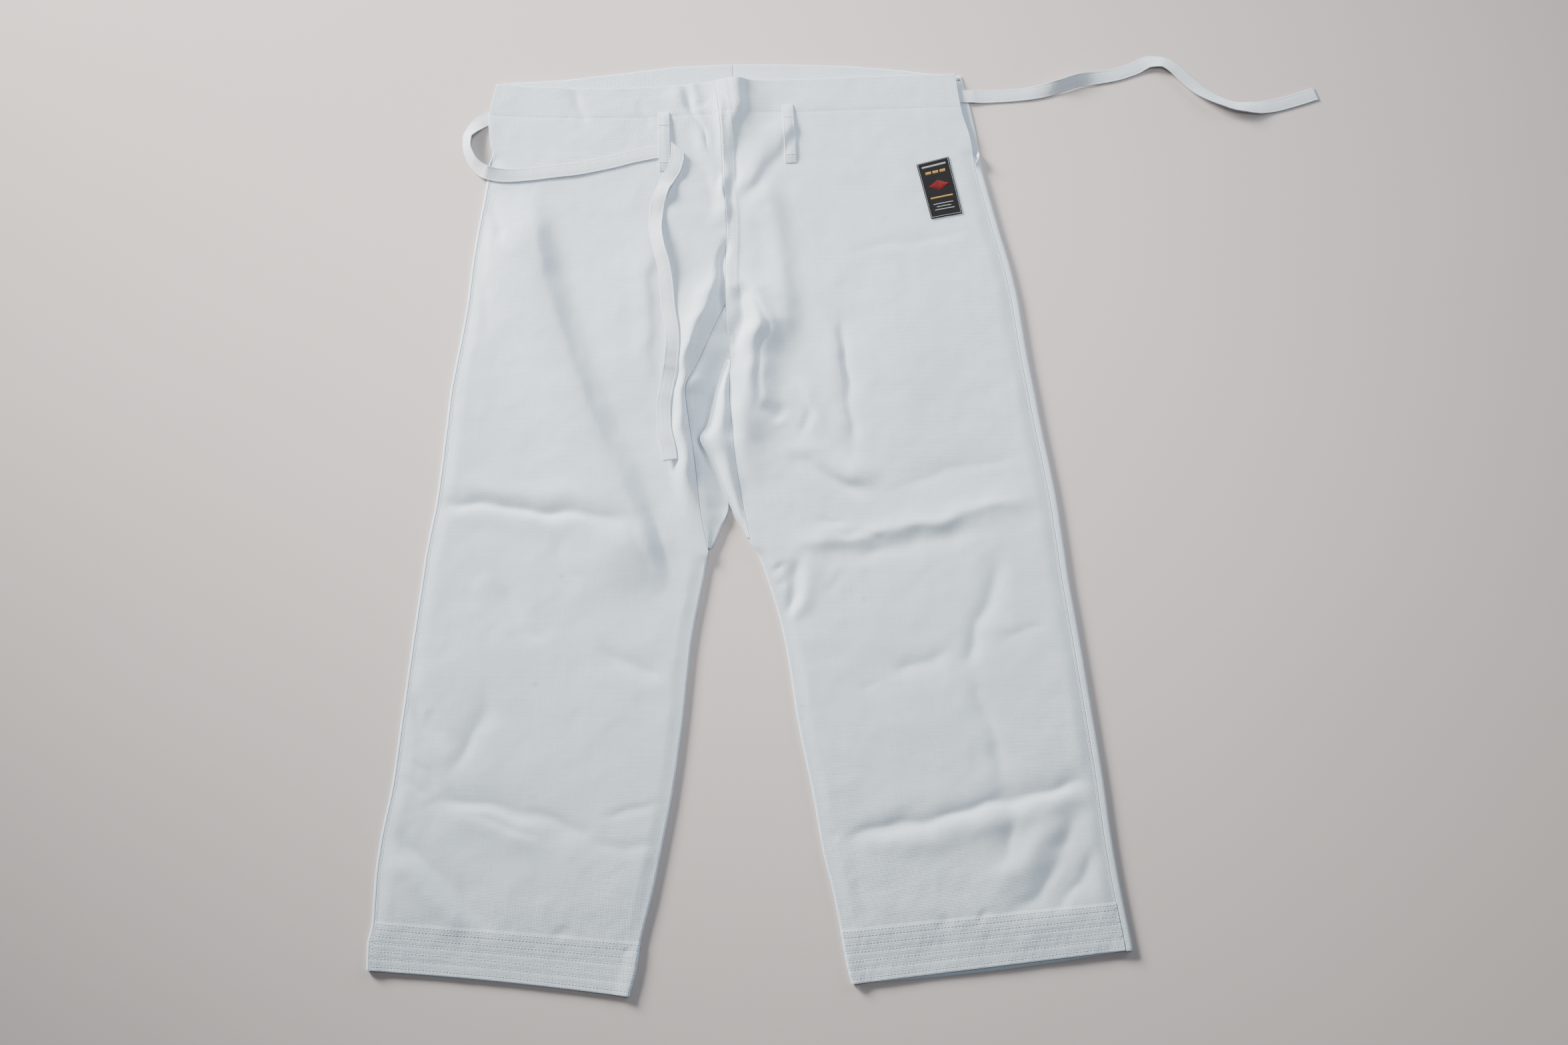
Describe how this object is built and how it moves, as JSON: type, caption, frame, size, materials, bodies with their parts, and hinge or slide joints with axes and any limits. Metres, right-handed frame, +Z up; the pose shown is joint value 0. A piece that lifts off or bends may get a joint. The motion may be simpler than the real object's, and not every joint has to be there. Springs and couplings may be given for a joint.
{
  "type": "karate trousers",
  "caption": "Loose white canvas karate trousers laid flat on their back, with a gusset, a drawstring, belt loops, stitched hems and a label patch.",
  "frame": {"origin": "centre of the garment's outline at the surface it lies on, the free tape left out", "axes": "+X towards the wearer's left leg, +Y towards the waist, +Z up from the surface"},
  "size_m": [0.9378, 0.9404, 0.0165],
  "materials": {
    "bleached cotton canvas": "matt plain weave",
    "cotton twill tape": "matt flat tape",
    "black woven label": "fine satin weave"
  },
  "bodies": {
    "root": {"back_panel_right": "bleached cotton canvas", "back_panel_left": "bleached cotton canvas", "back_casing_right": "bleached cotton canvas", "back_casing_left": "bleached cotton canvas", "front_panel_right": "bleached cotton canvas", "front_panel_left": "bleached cotton canvas", "gusset_right": "bleached cotton canvas", "gusset_left": "bleached cotton canvas", "belt_loop_right": "bleached cotton canvas", "belt_loop_left": "bleached cotton canvas", "label_patch": "black woven label", "drawstring_right": "cotton twill tape", "drawstring_left": "cotton twill tape"}
  },
  "joints": []
}
